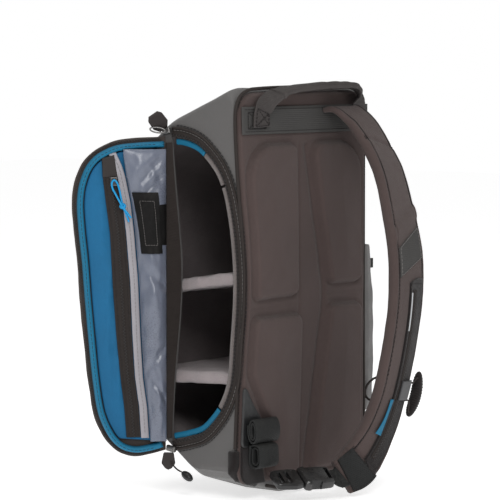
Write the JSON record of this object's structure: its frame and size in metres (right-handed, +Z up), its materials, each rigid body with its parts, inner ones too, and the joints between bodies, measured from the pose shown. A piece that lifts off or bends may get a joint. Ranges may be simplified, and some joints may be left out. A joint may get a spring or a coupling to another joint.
{
  "type": "camera sling bag",
  "caption": "Padded camera sling bag standing on its base, side door swung open, with a curved shoulder strap, side pocket and stitched handle.",
  "frame": {"origin": "on the floor, in the middle of the flat base under the bag", "axes": "+Z up the bag's height, +X to the wearer's right side pocket, -Y out of the padded back panel"},
  "size_m": [0.3175, 0.2614, 0.4068],
  "materials": {
    "shell_cloth": "fine woven nylon",
    "knit": "soft knitted mesh over foam",
    "webbing": "ribbed webbing",
    "lining": "brushed lining",
    "blue_cloth": "plain woven nylon",
    "fleece": "brushed loop fleece",
    "pocket_film": "clouded soft film",
    "binding": "woven tape",
    "zip_cloth": "coated zip tape",
    "label_cloth": "satin weave, left blank",
    "blue_cord": "braided",
    "leatherette": "fine grain",
    "plastic": "moulded, half gloss",
    "rubber": "matte",
    "slider_metal": "dark half gloss",
    "silver_tape": "reflective strip"
  },
  "bodies": {
    "root": {"shell_left": "shell_cloth", "shell_band": "shell_cloth", "shell_right": "shell_cloth", "liner_left": "lining", "liner_band": "lining", "liner_right": "lining", "opening_zip_tape": "zip_cloth", "facing_top": "blue_cloth", "fleece_lip": "fleece", "facing_bottom": "blue_cloth", "divider_upper": "fleece", "divider_lower": "fleece", "door_panel": "shell_cloth", "door_hinge_cloth": "zip_cloth", "door_rim": "blue_cloth", "door_lining": "blue_cloth", "door_zip": "zip_cloth", "zip_garage": "rubber", "pocket_binding": "binding", "pocket_sheet": "pocket_film", "label_patch": "label_cloth", "back_panel": "knit", "corner_knit": "leatherette", "back_piping": "zip_cloth", "top_yoke": "webbing", "strap_pad": "knit", "strap_patch": "webbing", "strap_pocket": "webbing", "strap_zip": "zip_cloth", "end_patch": "webbing", "silver_strip": "silver_tape", "grab_handle": "webbing", "keeper_loop": "webbing", "elastic_roll": "webbing", "blue_tab": "blue_cloth", "buckle_socket": "plastic", "buckle_tongue": "plastic", "strap_tail": "webbing", "wing": "leatherette", "web_roll": "webbing", "web_loop": "webbing", "side_pocket": "shell_cloth", "pocket_tab": "webbing", "side_cord_ring": "zip_cloth", "slider_top": "slider_metal", "slider_foot": "slider_metal", "pull_tab_top": "rubber", "pull_tab_foot": "rubber", "toggle_cord": "zip_cloth", "toggle": "plastic", "pocket_slider": "slider_metal", "blue_pull_cord": "blue_cord"}
  },
  "joints": []
}
